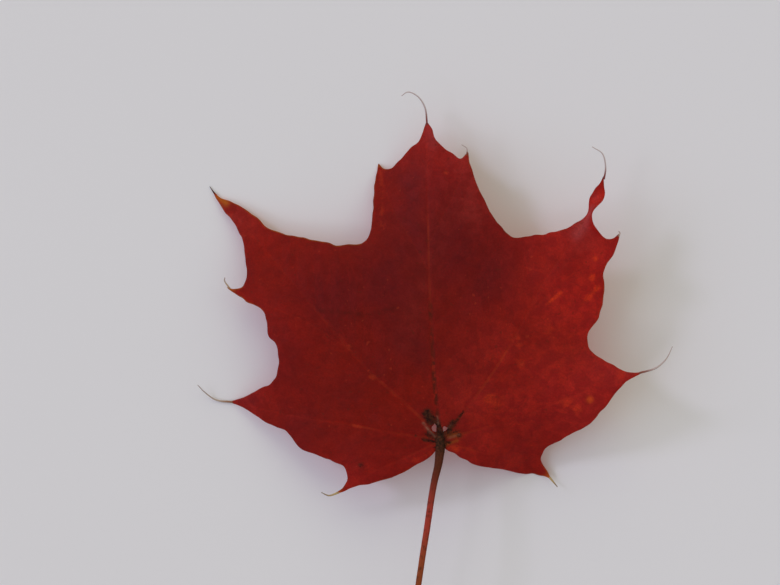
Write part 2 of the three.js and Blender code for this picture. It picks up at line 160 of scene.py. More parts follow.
# Coloured areas of the blade. A spot is x, y, radius and strength; a streak has two points.
# Along the margin "rim" is yellow, "scorch" is dead tissue, and on the main veins "vein_show" is
# how clearly they show and "vein_dark" is where dark dashes follow them.
AREAS = {
    "blush": [
        (36, 38, 14, 1), (34, 16, 16, 1), (44, 50, 8, 0.9), (48, 20, 8, 0.9), (22, 10, 12, 0.9),
        (42.5, 66, 3.5, 1), (16, 26, 10, 0.6), (-50, 62, 7, 0.25), (20, -2, 10, 0.8),
        (-56, 12, 8, 0.4), (-22, -9, 8, 0.45), (3, 82, 9, 0.2), (32, 56, 8, 0.6),
        (-9, -4, -1, -1, 3, 0.5), (2, 0, 9, -3, 3, 0.8), (10, 12, 9, 0.9), (12, 2, 8, 1),
    ],
    "maroon": [
        (4, 56, 14, 1), (-14, 46, 13, 0.9), (12, 46, 11, 0.9), (-27, 42, 12, 0.7),
        (-10, 64, 10, 0.6), (-8.5, 72, -6.5, 58, 4, 0.8), (-5.5, 24, -5.5, 46, 3.5, 0.45),
        (-12, 32, 9, 0.4), (-34, 26, 10, 0.2), (38.6, 30.2, 3.5, 0.35), (41, 23.5, 3, 0.3),
        (-58, 11.5, -51, 12.4, 1.8, 0.9),
    ],
    # dust_and_sheen: a dull grey-red lightening, partly dust and partly painted sheen where light
    # glances off the rolled tip's neck and the middle lobe's top.
    "dust_and_sheen": [
        (6, 80, 9, 64, 6, 0.8), (0, 84, 5, 0.7), (-5, 77, 6, 0.4), (-56, 63, 6, 0.85),
        (36.5, 58.5, 40, 62.5, 2.8, 1), (38.5, 56, 4.5, 0.7), (-54, 12, 6, 0.35), (40, 8, 8, 0.4),
        (47, 19, 6, 0.45), (-9, 30, 4, 70, 4, 0.3),
    ],
    # ash_and_sheen: a mauve grey, painted sheen along the rolled tip's neck where light glances off
    # it, and a grey cast near the middle and right lobes' tips.
    "ash_and_sheen": [
        (36.6, 57.2, 40.4, 62.4, 1.5, 1), (40.4, 62.4, 40.6, 64, 1.2, 0.8), (41.5, 67, 1.2, 0.3),
        (-3.2, 86.8, -1.6, 82, 1.4, 0.4), (54.5, 20.4, 50, 20.6, 0.9, 0.4),
    ],
    "rim": [
        (-58.5, 66, -46, 59, 2.5, 1), (-46, 59, -22, 53.5, 2.5, 0.8), (-15.5, 57, -16, 76, 2, 0.9),
        (-10, 82, -5, 86, 2, 0.6), (-56, 43, -49, 38, 2, 0.9), (4, 84, 9, 76, 2, 0.5),
        (-27, -12, -6, -5, 2, 0.4), (26, -7, 31, -9, 2, 0.8), (44, 56, 43, 32, 2, 0.35),
    ],
    "glow": [
        (40.2, 12.9, 1.1, 1.35), (34, 11.4, 3.2, 0.6), (37, 10, 2.2, 0.7), (1.7, 74.1, 1, 1),
        (40.6, 45.8, 1.2, 0.9), (28.3, 38.4, 32.4, 41.7, 0.7, 0.75),
        (38, 38.6, 42.5, 43.4, 1.3, 0.7), (41.5, 50.8, 1, 0.8), (20.5, 28.5, 3, 0.5),
        (15.5, 12.5, 2.6, 0.6), (13.1, 13.3, 1.7, 0.95), (48.6, 20.4, 3, 0.6), (30, 31, 3.2, 0.5),
        (21.5, 22.5, 2.6, 0.45), (44, 20, 2.6, 0.5), (-24.4, 27.2, 1.4, 0.55),
        (-18.1, 18.9, 1.3, 0.9), (-9, 10.4, -30, 33.5, 0.6, 0.36), (-16, 75, -15.6, 60, 1.2, 0.45),
        (-57.6, 62.4, 1.8, 0.6), (-53.6, 57, 1.8, 0.5), (-24, 5.9, -19, 5.1, 0.8, 0.5),
        (-8, -4.2, -2, -0.8, 1.1, 0.5), (2.2, 0.2, 4.5, -0.6, 1, 0.8),
    ],
    "ochre": [
        (-60.8, 68.2, -58.6, 66.3, 0.9, 1), (40.2, 12.9, 0.8, 0.45), (-57, 43, 1.2, 0.9),
        (-28.2, -13.1, 1.3, 1), (30.4, -9.3, 1.3, 1), (1.6, 0.9, 4.6, 1.9, 0.4, 0.45),
        (2.4, 3.4, 4.6, 3.4, 0.9, 0.35),
    ],
    "tan": [
        (-4.6, 6.7, -2.6, 4.1, 0.3, 0.8), (-2.6, 4.1, -1.4, 3, 0.25, 0.5),
        (-0.7, 8.4, -0.6, 6.4, 0.25, 0.5), (2.3, 2.6, 4.9, 3.5, 0.3, 0.45),
        (2.2, 5.6, 3, 6.4, 0.25, 0.3),
    ],
    "scorch": [
        (-63.2, 71, -62, 69.6, 0.8, 0.65), (-3.5, 9.2, -2.5, 7.3, 1.6, 0.85),
        (-0.5, 6.6, 0.2, 3.6, 0.8, 0.9), (-1.6, 6.9, -0.6, 6, 0.9, 0.75),
        (0.1, 3.6, 0, 0.6, 1.9, 0.85), (2.3, 4.8, 3.6, 6.8, 1.1, 0.8),
        (3.7, 6.6, 6.2, 9.6, 0.6, 0.65), (2.6, 3.6, 4.9, 4.6, 0.6, 0.55), (5.2, 3.3, 0.9, 0.75),
        (-4.6, 2.2, -1.5, 1.6, 0.6, 0.75), (-3.8, 3.6, -1.4, 2.6, 0.6, 0.65), (-6.6, 3.2, 0.7, 0.5),
        (-3.4, 4.6, -1.4, 3.2, 0.5, 0.6), (1, 3.8, 2.4, 3.9, 0.6, 0.6),
        (1.2, 1.6, 2.6, 1.4, 0.7, 0.6), (47.9, 57.1, 1.2, 0.6), (54, 20.4, 1.8, 0.3),
        (-57.6, 11.5, 1.3, 0.5), (-3.4, 88, 1.2, 0.4), (43.8, 72.6, 1.1, 0.5),
        (-21.5, -4.9, 1.5, 0.5), (10.3, -0.9, 1.1, 0.32), (14.4, -3.9, 1.3, 0.4),
        (7.3, 79.2, 0.8, 0.4), (10.9, 7.4, 1.2, 0.2),
    ],
    # crease_shade: painted shade, a broken dark line along a crease across the upper left lobe.
    "crease_shade": [
        (-32.6, 36.8, -20, 35.9, 0.6, 1), (-20, 35.9, -12, 37.6, 0.6, 0.6),
    ],
    "vein_show": [
        (-2, 20, 8, 0.45), (-3, 56, 9, 0.5), (-2.8, 42, 8, 0.4), (-6, 9, 7, 0.4),
        (-15, 17, 8, 0.35), (-24, 27, 7, 0.25), (-31, 35, 6, 0.2), (5, 5, 6, 0.7),
        (11, 15, 18, 25, 4, 0.6), (-20.6, 5.2, 3.5, 0.6), (0, 0, 8, 0.5), (9, 4, 6, 0.5),
        (-10, 3.6, 5, 0.3), (-8, -2.5, 5, 0.4), (8, -1.2, 5, 0.4),
    ],
    "vein_dark": [
        (-0.7, 8, -1.4, 22, 3, 1), (-1.6, 22, -2, 30, 3, 0.8), (-2.4, 36.5, 2.5, 1),
        (21, 29, 27, 34, 1.5, 0.4), (2.4, 6, 4, 0.7),
    ],
}

# ---- Fine shape of the blade ----

MARGIN_SPACING = 0.32
MARGIN_WAVER = 0.3               # how far the margin wavers about its smooth line
MARGIN_WAVER_SIZE = 2.4
MARGIN_WAVER_SEEDS = (21.5, 34.5)
HOLE_CORNERS = 22
SHEET_SPACING = 0.58
SHEET_CLEARANCE = 0.16           # between the margin and the corners of the sheet inside it
CURVE_STEPS = 40                 # between two controls, before a curve is spaced evenly

VEIN_STEP = 0.25
SIDE_VEIN_GAP = 6.6              # between side veins on one side of a main vein
SIDE_VEIN_STARTS = ((-1, 1.45), (1, 1.0))    # the first one on each side, in gaps
SIDE_VEIN_RADIUS = (0.26, 0.09)
SIDE_VEIN_ANGLE = math.radians(46)
SIDE_VEIN_TURN = math.radians(-0.55)         # per millimetre, towards the lobe's tip
SIDE_VEIN_WOBBLE = 0.05          # of its angle, in radians
SIDE_VEIN_POINTS = (10, 160)     # the fewest and the most
SIDE_VEIN_END = 0.7              # it stops this far from the margin
TOOTH_VEIN_FIELD = 1.6           # no side vein comes this near to a tooth's vein
SEED = 7

# Rows of corners beside a vein, as offsets in vein radii, the least radius and the distance kept
# from corners that are there already.
STRONG_VEIN_ROWS = ((0, -0.45, 0.45, -0.9, 0.9, -1.35, 1.35), 0.22, 0.15)
SIDE_VEIN_ROWS = ((0, -1, 1), 0.26, 0.18)
SHEET_APART = 0.36

PUCKER = 0.1                     # how far the blade swells between its veins
RIPPLE, RIPPLE_SIZE = 0.3, 9.0   # slow unevenness of the blade
FINE_RIPPLE, FINE_RIPPLE_SIZE = 0.12, 3.2
EDGE_THICKNESS = 0.6             # of the margin, as a share of the blade's thickness
RIM_ROUNDING = 0.07

# Grooves over the veins and ridges under them, as width and height in vein radii.
MAIN_GROOVE, SIDE_GROOVE = (1.1, 0.12), (1.6, 0.12)
MAIN_RIDGE, SIDE_RIDGE = (1.2, 1.5), (1.7, 1.2)

STALK_SIDES, STALK_SPACING = 36, 0.4
STALK_KNOTS, STALK_KNOT_SIZE = 0.05, 2.4
BRISTLE_SIDES, BRISTLE_SPACING = 10, 0.25
SHARP_ANGLE = math.radians(55)


def smoothstep(low, high, value):
    """0 below low, 1 above high and an eased step between them."""
    share = np.clip((value - low) / (high - low), 0, 1)
    return share * share * (3 - 2 * share)


def slow_noise(places, size, seed):
    """Smooth noise from -1 to 1, with bumps of about this size."""
    return np.array([noise.noise((x / size + seed, y / size - seed, seed)) for x, y in places])


def smooth_curve(controls, spacing):
    """Evenly spaced points on a centripetal Catmull-Rom curve through the controls."""
    controls = np.array(controls, float)
    first = 2 * controls[0] - controls[1]
    last = 2 * controls[-1] - controls[-2]
    padded = np.vstack([first, controls, last])
    t = np.linspace(0, 1, CURVE_STEPS, endpoint=False)[:, None]
    dense = []
    for before, start, end, after in zip(padded, padded[1:], padded[2:], padded[3:]):
        g0, g1, g2 = (np.linalg.norm(b - a) ** 0.5
                      for a, b in ((before, start), (start, end), (end, after)))
        leave = ((start - before) / g0 - (end - before) / (g0 + g1) + (end - start) / g1) * g1
        arrive = ((end - start) / g1 - (after - start) / (g1 + g2) + (after - end) / g2) * g1
        dense.append((2 * t**3 - 3 * t**2 + 1) * start + (t**3 - 2 * t**2 + t) * leave
                     + (3 * t**2 - 2 * t**3) * end + (t**3 - t**2) * arrive)
    dense = np.vstack([*dense, controls[-1:]])
    along = np.concatenate([[0], np.cumsum(np.linalg.norm(np.diff(dense, axis=0), axis=1))])
    wanted = np.linspace(0, along[-1], max(2, round(along[-1] / spacing) + 1))
    return np.stack([np.interp(wanted, along, column) for column in dense.T], axis=1)


def bent_plate(landmarks):
    """The height of a thin plate bent through the landmarks, as a function of points."""
    places, heights = np.array(landmarks)[:, :2], np.array(landmarks)[:, 2]

    def kernel(points):
        squared = ((points[:, None] - places[None]) ** 2).sum(axis=2)
        bend = squared * np.log(np.maximum(squared, 1e-12))
        return np.hstack([bend, np.ones((len(points), 1)), points])

    rows = np.vstack([kernel(places), np.zeros((3, len(places) + 3))])
    rows[len(places):, :len(places)] = kernel(places)[:, len(places):].T
    weights = np.linalg.solve(rows, np.concatenate([heights, np.zeros(3)]))
    return lambda points: kernel(points) @ weights


sheet_height = bent_plate(RELIEF)


def tree_of(points):
    """A search tree of points in plan."""
    tree = kdtree.KDTree(len(points))
    for index, point in enumerate(points):
        tree.insert((*point, 0), index)
    tree.balance()
    return tree


def nearest(tree, points):
    """For each point, the distance to the tree's nearest point and that point's index."""
    found = [tree.find((*point, 0)) for point in points]
    return np.array([f[2] for f in found]), np.array([f[1] for f in found])


def inside(points, ring):
    """Which points lie inside the closed ring."""
    crossed = np.zeros(len(points), bool)
    x, y = points.T
    for (ax, ay), (bx, by) in zip(ring, np.roll(ring, -1, axis=0)):
        spans = (ay > y) != (by > y)
        crossed[spans] ^= x[spans] < (bx - ax) * (y[spans] - ay) / (by - ay) + ax
    return crossed


def margin_ring():
    """Points along the margin of the blade, with its small unevenness."""
    ring = []
    for stretch, following in zip(MARGIN, MARGIN[1:] + MARGIN[:1]):
        ring.append(smooth_curve([*stretch, following[0]], MARGIN_SPACING)[:-1])
    ring = np.vstack(ring)
    waver = [slow_noise(ring, MARGIN_WAVER_SIZE, seed) for seed in MARGIN_WAVER_SEEDS]
    return ring + MARGIN_WAVER * np.column_stack(waver)


def vein_line(entry):
    """A vein as evenly spaced points, and the radius at each."""
    root, tip, controls = entry
    points = smooth_curve(controls, VEIN_STEP)
    return points, np.linspace(root, tip, len(points))


def grow_side_vein(start, heading, turn, own, others, edge):
    """Points of one side vein, from its main vein until the margin or another vein's field."""
    points = [np.array(start)]
    while len(points) < SIDE_VEIN_POINTS[1]:
        point = points[-1] + np.array((math.cos(heading), math.sin(heading))) * VEIN_STEP
        gap, mine = (tree.find((*point, 0))[2] for tree in (edge, own))
        theirs = min(tree.find((*point, 0))[2] for tree in others)
        if gap < SIDE_VEIN_END or theirs < 0.8 * mine:
            break
        points.append(point)
        heading += turn * VEIN_STEP
    return np.array(points)


def side_veins(main_lines, tooth_lines, ring):
    """Side veins along both sides of each main vein, bending towards its tip."""
    edge = tree_of(ring)
    trees = [tree_of(points) for points, _ in main_lines]
    taken = tree_of(np.vstack([points for points, _ in tooth_lines]))
    wobble = np.random.default_rng(SEED)
    every = round(SIDE_VEIN_GAP / VEIN_STEP)
    root, tip = SIDE_VEIN_RADIUS
    lines = []
    for index, (points, _) in enumerate(main_lines):
        others = trees[:index] + trees[index + 1:]
        for side, start in SIDE_VEIN_STARTS:
            for at in range(round(every * start), len(points) - every // 3, every):
                at = min(len(points) - 2, at + int(wobble.integers(-3, 4)))
                tangent = points[at + 1] - points[at - 1]
                share = at / len(points)
                angle = SIDE_VEIN_ANGLE * (1.12 - 0.3 * share)
                angle += wobble.uniform(-SIDE_VEIN_WOBBLE, SIDE_VEIN_WOBBLE)
                heading = math.atan2(tangent[1], tangent[0]) + side * angle
                grown = grow_side_vein(points[at], heading, side * SIDE_VEIN_TURN, trees[index],
                                       others, edge)
                if (len(grown) >= SIDE_VEIN_POINTS[0]
                        and nearest(taken, grown[6:])[0].min() >= TOOTH_VEIN_FIELD):
                    lines.append((grown, np.linspace(root * (1 - 0.35 * share), tip, len(grown))))
    return lines


def thin_out(groups):
    """The points of all groups, in order, without those too close to one that is kept already."""
    kept = []
    cells = {}
    for points, apart in groups:
        for x, y in points:
            cell = (math.floor(x), math.floor(y))
            near = (other for i in (-1, 0, 1) for j in (-1, 0, 1)
                    for other in cells.get((cell[0] + i, cell[1] + j), ()))
            if all((x - u) ** 2 + (y - v) ** 2 > apart * apart for u, v in near):
                kept.append((x, y))
                cells.setdefault(cell, []).append((x, y))
    return np.array(kept)


def vein_rows(lines, offsets, least):
    """Points along the veins and in rows beside them, so that the mesh follows each vein."""
    rows = []
    for points, radii in lines:
        tangents = np.gradient(points, axis=0)
        tangents /= np.linalg.norm(tangents, axis=1)[:, None]
        across = np.stack([-tangents[:, 1], tangents[:, 0]], axis=1)
        reach = np.maximum(radii, least)[:, None]
        rows += [(points + across * reach * offset)[::2] for offset in offsets]
    return np.vstack(rows)


def sheet_grid(ring):
    """A grid of triangles' corners over the blade, well inside its margin."""
    low, high = ring.min(axis=0), ring.max(axis=0)
    rise = SHEET_SPACING * math.sqrt(3) / 2
    rows = []
    for index, y in enumerate(np.arange(low[1], high[1], rise)):
        x = np.arange(low[0], high[0], SHEET_SPACING) + (index % 2) * SHEET_SPACING / 2
        rows.append(np.stack([x, np.full(len(x), y)], axis=1))
    return np.vstack(rows)


def hole_ring(x, y, half_width, half_length):
    """Points round a small hole with a ragged edge."""
    angles = np.linspace(0, 2 * math.pi, HOLE_CORNERS, endpoint=False)
    ragged = 1 + 0.12 * np.sin(3 * angles + x) + 0.07 * np.sin(5 * angles)
    return np.stack([x + half_width * ragged * np.cos(angles),
                     y + half_length * ragged * np.sin(angles)], axis=1)


def triangulate(ring, holes, free_points):
    """Corners and counter-clockwise triangles that fill the ring around its holes."""
    loops = [ring, *holes]
    corners = np.vstack([*loops, free_points])
    edges = []
    first = 0
    for loop in loops:
        count = len(loop)
        edges += [(first + i, first + (i + 1) % count) for i in range(count)]
        first += count
    made = geometry.delaunay_2d_cdt([Vector(corner) for corner in corners], edges, [], 1, 1e-5)
    places = np.array(made[0])[:, :2]
    triangles = np.array(made[2])
    centres = places[triangles].mean(axis=1)
    keep = inside(centres, ring)
    for hole in holes:
        keep &= ~inside(centres, hole)
    triangles = triangles[keep]
    used, renumbered = np.unique(triangles, return_inverse=True)
    places, triangles = places[used], renumbered.reshape(-1, 3)
    a, b, c = (places[triangles[:, k]] for k in range(3))
    turned = (b - a)[:, 0] * (c - a)[:, 1] - (b - a)[:, 1] * (c - a)[:, 0] < 0
    triangles[turned] = triangles[turned][:, ::-1]
    return places, triangles


def roll_tip(points, places):
    """Turns the upper right lobe's tip about its own middle line."""
    along = (ROLL_END - ROLL_START) / np.linalg.norm(ROLL_END - ROLL_START)
    offset = places - ROLL_START
    distance = offset @ along
    aside = np.abs(offset[:, 0] * along[1] - offset[:, 1] * along[0])
    angle = (ROLL_ANGLE * np.exp(-(((distance - ROLL_CENTRE) / ROLL_LENGTH) ** 2))
             * smoothstep(0, ROLL_EASE, distance) * (1 - smoothstep(*ROLL_REACH, aside)))
    feet = ROLL_START + distance[:, None] * along
    pivots = np.column_stack([feet, sheet_height(feet)])
    axis = np.array((along[0], along[1], 0.0))
    arm = points - pivots
    cos, sin = np.cos(-angle)[:, None], np.sin(-angle)[:, None]
    turned = arm * cos + np.cross(axis, arm) * sin + axis * (arm @ axis)[:, None] * (1 - cos)
    return pivots + turned


def vertex_normals(points, triangles):
    """The sheet's normal at each corner, from the triangles around it."""
    a, b, c = (points[triangles[:, k]] for k in range(3))
    faces = np.cross(b - a, c - a)
    normals = np.zeros_like(points)
    for k in range(3):
        np.add.at(normals, triangles[:, k], faces)
    return normals / np.linalg.norm(normals, axis=1)[:, None]


def border_edges(triangles):
    """The directed edges that only one triangle has."""
    directed = {(int(t[k]), int(t[(k + 1) % 3])) for t in triangles for k in range(3)}
    return [edge for edge in sorted(directed) if edge[::-1] not in directed]


def spread(places, spots):
    """How strongly each place is covered by soft spots, or streaks from one point to another."""
    cover = np.zeros(len(places))
    for *ends, radius, strength in spots:
        start, end = np.array(ends[:2]), np.array(ends[-2:])
        length = max(((end - start) ** 2).sum(), 1e-9)
        share = np.clip((places - start) @ (end - start) / length, 0, 1)[:, None]
        squared = ((places - start - share * (end - start)) ** 2).sum(axis=1)
        cover = np.maximum(cover, strength * np.exp(-squared / radius**2))
    return cover


def blade_fields(places, main_lines, side_lines, ring):
    """Distances to veins and margin, and the coloured areas, at each place of the blade."""
    main = tree_of(np.vstack([points for points, _ in main_lines]))
    side = tree_of(np.vstack([points for points, _ in side_lines]))
    main_gap, main_index = nearest(main, places)
    side_gap, side_index = nearest(side, places)
    return {
        "main_gap": main_gap,
        "main_radius": np.concatenate([radii for _, radii in main_lines])[main_index],
        "side_gap": side_gap,
        "side_radius": np.concatenate([radii for _, radii in side_lines])[side_index],
        "margin_gap": nearest(tree_of(ring), places)[0],
        **{name: spread(places, spots) for name, spots in AREAS.items()},
    }


def sheet_points(places, fields):
    """The middle of the sheet, with its puckers and ripples."""
    free = smoothstep(0.3, 3.2, np.minimum(fields["main_gap"], fields["side_gap"]))
    inward = smoothstep(0.0, 4.0, fields["margin_gap"])
    swell = PUCKER * free * inward
    ripple = (RIPPLE * slow_noise(places, RIPPLE_SIZE, 3.3)
              + FINE_RIPPLE * slow_noise(places, FINE_RIPPLE_SIZE, 8.1) * free)
    settle = smoothstep(0.3, 4.0, sheet_height(places))
    height = sheet_height(places) + (swell + ripple) * settle
    return roll_tip(np.column_stack([places, height]), places)


def vein_profile(gap, radius, width, height):
    """The height of a rounded ridge over a vein."""
    across = np.clip(gap / (width * radius), 0, 1)
    return height * radius * (1 - across**2) ** 1.3


def vein_relief(fields, main_shape, side_shape):
    """The height of the ridges over all veins, fading out at the margin."""
    relief = (vein_profile(fields["main_gap"], fields["main_radius"], *main_shape)
              + vein_profile(fields["side_gap"], fields["side_radius"], *side_shape))
    return relief * smoothstep(0.0, 1.0, fields["margin_gap"])


def leaf_origin():
    """Where the blade joins its stalk, on the surface, in the frame's own units."""
    low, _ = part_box(NODE)
    return low + JOINT_FROM_CORNER * MM


def add_attributes(mesh, fields):
    """Gives the mesh's points the numbers that its materials read."""
    for name, values in fields.items():
        layer = mesh.attributes.new(name, "FLOAT", "POINT")
        layer.data.foreach_set("value", np.asarray(values, np.float32))


def finish_piece(name, points, faces, materials, fields, face_materials=None):
    """Makes a mesh piece from points in the leaf's axes, and ties it to the frame."""
    mesh = bpy.data.meshes.new(name)
    origin = np.array(leaf_origin())
    mesh.from_pydata((points * MM + origin).tolist(), [], faces)
    for material in materials:
        mesh.materials.append(material)
    if face_materials is not None:
        mesh.polygons.foreach_set("material_index", face_materials)
    add_attributes(mesh, fields)
    mesh.shade_smooth()
    mesh.set_sharp_from_angle(angle=SHARP_ANGLE)
    piece = bpy.data.objects.new(name, mesh)
    bpy.context.scene.collection.objects.link(piece)
    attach(piece, "root")
    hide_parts(NODE)


def lay_out_sheet():
    """The blade in plan: its corners, its triangles and its fields at each corner."""
    ring = margin_ring()
    holes = [hole_ring(*hole) for hole in FORK_HOLES]
    borders = np.vstack([ring, *holes])
    main_lines = [vein_line(entry) for entry in MAIN_VEINS]
    tooth_lines = [vein_line(entry) for entry in TOOTH_VEINS]
    strong_lines = main_lines + tooth_lines
    side_lines = side_veins(main_lines, tooth_lines, ring)
    groups = [(borders, 0.0)]
    for lines, (offsets, least, apart) in ((strong_lines, STRONG_VEIN_ROWS),
                                           (side_lines, SIDE_VEIN_ROWS)):
        groups.append((vein_rows(lines, offsets, least), apart))
    corners = thin_out([*groups, (sheet_grid(ring), SHEET_APART)])[len(borders):]
    clear = nearest(tree_of(ring), corners)[0] > SHEET_CLEARANCE
    places, triangles = triangulate(ring, holes, corners[clear & inside(corners, ring)])
    return places, triangles, blade_fields(places, strong_lines, side_lines, ring)


def round_rim(middle, normals, border):
    """The corners on the border, and a point outside each that rounds the sheet's edge."""
    outward = np.zeros_like(middle)
    for a, b in border:
        out = np.cross(middle[b] - middle[a], normals[a])
        outward[a] += out / np.linalg.norm(out)
        outward[b] += out / np.linalg.norm(out)
    corners = sorted({corner for edge in border for corner in edge})
    outward = outward[corners]
    outward /= np.maximum(np.linalg.norm(outward, axis=1), 0.5)[:, None]
    return corners, middle[corners] + outward * RIM_ROUNDING


def make_blade():
    """The blade: an upper and a lower skin over one bent sheet, joined by a rounded rim."""
    places, triangles, fields = lay_out_sheet()
    middle = sheet_points(places, fields)
    normals = vertex_normals(middle, triangles)
    inward = smoothstep(0.0, 1.2, fields["margin_gap"])
    half = BLADE_THICKNESS / 2 * (EDGE_THICKNESS + (1 - EDGE_THICKNESS) * inward)
    upper = middle + normals * (half - vein_relief(fields, MAIN_GROOVE, SIDE_GROOVE))[:, None]
    lower = middle - normals * (half + vein_relief(fields, MAIN_RIDGE, SIDE_RIDGE))[:, None]
    border = border_edges(triangles)
    rim_corners, rim = round_rim(middle, normals, border)

    count = len(places)
    on_rim = {corner: index + 2 * count for index, corner in enumerate(rim_corners)}
    faces = triangles.tolist() + (triangles[:, ::-1] + count).tolist()
    for a, b in border:
        faces.append((b, a, on_rim[a], on_rim[b]))
        faces.append((on_rim[b], on_rim[a], a + count, b + count))
    kinds = np.zeros(len(faces), np.int32)
    kinds[len(triangles):2 * len(triangles)] = 1
    everywhere = {name: np.concatenate([values, values, values[rim_corners]])
                  for name, values in fields.items()}
    points = np.vstack([upper, lower, rim])
    points[:, 2] = np.maximum(points[:, 2], 0.0)
    finish_piece("leaf_blade", points, faces, [upper_face(), lower_face()], everywhere,
                 kinds)


def swept_tube(stations, sides, spacing, section=None):
    """A tube through stations of x, y, z and radius: its points, faces and each point's share
    of its length."""
    rings = smooth_curve(stations, spacing)
    centres, radii = rings[:, :3], rings[:, 3]
    tangents = np.gradient(centres, axis=0)
    tangents /= np.linalg.norm(tangents, axis=1)[:, None]
    points = []
    for centre, tangent, radius in zip(centres, tangents, radii):
        side = np.cross(tangent, (0, 0, 1))
        side /= np.linalg.norm(side)
        up = np.cross(side, tangent)
        for k in range(sides):
            angle = 2 * math.pi * k / sides
            reach = radius * (section(angle) if section else 1)
            points.append(centre + reach * (side * math.cos(angle) + up * math.sin(angle)))
    faces = []
    last = (len(centres) - 1) * sides
    for here in range(0, last, sides):
        for k in range(sides):
            after = (k + 1) % sides
            faces.append((here + k, here + sides + k, here + sides + after, here + after))
    faces.append(tuple(range(sides)))
    faces.append(tuple(last + k for k in reversed(range(sides))))
    share = np.repeat(np.linspace(0, 1, len(centres)), sides)
    return np.array(points), faces, share


def stalk_section(angle):
    """The stalk's cross-section: a shallow channel along the top and faint ribs round it."""
    from_top = math.remainder(angle - math.pi / 2, 2 * math.pi)
    return 1 - 0.14 * math.exp(-((from_top / 0.42) ** 2)) + 0.022 * math.cos(9 * angle)


def make_stalk():
    """The stalk: one ribbed tube with faint knots, down to its swollen foot."""
    points, faces, share = swept_tube(STALK, STALK_SIDES, STALK_SPACING, stalk_section)
    knots = np.array([noise.noise(Vector(point) / STALK_KNOT_SIZE) for point in points])
    centres = points.reshape(-1, STALK_SIDES, 3).mean(axis=1).repeat(STALK_SIDES, axis=0)
    points = centres + (points - centres) * (1 + STALK_KNOTS * knots)[:, None]
    points[:, 2] = np.maximum(points[:, 2], 0.0)
    finish_piece("leaf_stalk", points, faces, [stalk_skin()], {"along": share})


def make_bristles():
    """The bristles: one tapering thread for each, in one piece."""
    points, faces, shares, warmth = [], [], [], []
    for root_radius, warm, route in BRISTLES:
        radii = np.linspace(root_radius, BRISTLE_TIP_RADIUS, len(route))
        stations = [(*place, radius) for place, radius in zip(route, radii)]
        tube, tube_faces, share = swept_tube(stations, BRISTLE_SIDES, BRISTLE_SPACING)
        first = sum(map(len, points))
        points.append(tube)
        faces += [tuple(corner + first for corner in face) for face in tube_faces]
        shares.append(share)
        warmth.append(np.full(len(share), warm))
    fields = {"along": np.concatenate(shares), "warmth": np.concatenate(warmth)}
    finish_piece("leaf_bristles", np.vstack(points), faces, [bristle_skin()], fields)


# ---- Materials ----

# Colours, as linear red, green and blue.
UPPER = {
    "bright_red": (0.176, 0.0138, 0.0058),
    "deep_red": (0.151, 0.0122, 0.0083),
    "maroon": (0.112, 0.012, 0.013),
    "orange_red": (0.208, 0.0225, 0.019),
    "light_red": (0.24, 0.029, 0.018),
    "glow": (0.37, 0.07, 0.016),
    # greyish lighter red: dust, and painted sheen
    "dust_and_sheen": (0.188, 0.036, 0.03),
    # mauve grey: painted sheen on the rolled tip's neck, grey cast near two tips
    "ash_and_sheen": (0.235, 0.085, 0.083),
    "network": (0.14, 0.023, 0.015),
    "side_vein": (0.12, 0.02, 0.012),
    "main_vein": (0.25, 0.056, 0.017),
    # painted shade of the crease
    "vein_dark": (0.068, 0.017, 0.0085),
    "crease_shade": (0.05, 0.012, 0.007),
    "edge": (0.22, 0.125, 0.018),
    "light_speck": (0.3, 0.055, 0.02),
    "dark_speck": (0.08, 0.022, 0.01),
    "ochre": (0.235, 0.16, 0.02),
    "burnt": (0.02, 0.009, 0.006),
    "brown": (0.075, 0.028, 0.012),
    "tan": (0.23, 0.19, 0.125),
}
LOWER = {
    "light_red": (0.47, 0.1, 0.075),
    "deep_red": (0.37, 0.085, 0.075),
    "orange_red": (0.55, 0.14, 0.075),
    "grain": (0.22, 0.04, 0.03),
    "network": (0.5, 0.17, 0.09),
    "side_vein": (0.55, 0.21, 0.1),
    "main_vein": (0.5, 0.19, 0.08),
    "ochre": (0.55, 0.33, 0.06),
    "brown": (0.085, 0.045, 0.025),
}

# Pairs are blended by the grain or along the piece.
STALK_JOINT = ((0.018, 0.0085, 0.0045), (0.05, 0.017, 0.008))
STALK_SCAR = (0.16, 0.1, 0.06)
STALK_BLOTCH = (0.05, 0.015, 0.008)
STALK_GRAIN = (0.17, 0.05, 0.02)

# The stalk's colours from top to foot, as the shares of its length between which each sets in.
STALK_COLOURS = [
    (0.04, 0.1, (0.08, 0.018, 0.008)),
    (0.1, 0.24, (0.32, 0.038, 0.025)),
    (0.26, 0.4, (0.25, 0.056, 0.017)),
    (0.6, 0.95, (0.205, 0.075, 0.026)),
]
BRISTLE_PALE = ((0.2, 0.045, 0.04), (0.46, 0.37, 0.35))
BRISTLE_YELLOW = ((0.43, 0.31, 0.13), (0.26, 0.19, 0.12))
FLOOR_GREYS = ((0.745, 0.735, 0.745), (0.755, 0.745, 0.755))

# Light through the blade, as its share and how much stronger its red, green and blue are.
UPPER_THROUGH = (0.5, (4.2, 1.5, 1.5))
LOWER_THROUGH = (0.75, (2.1, 0.6, 0.6))


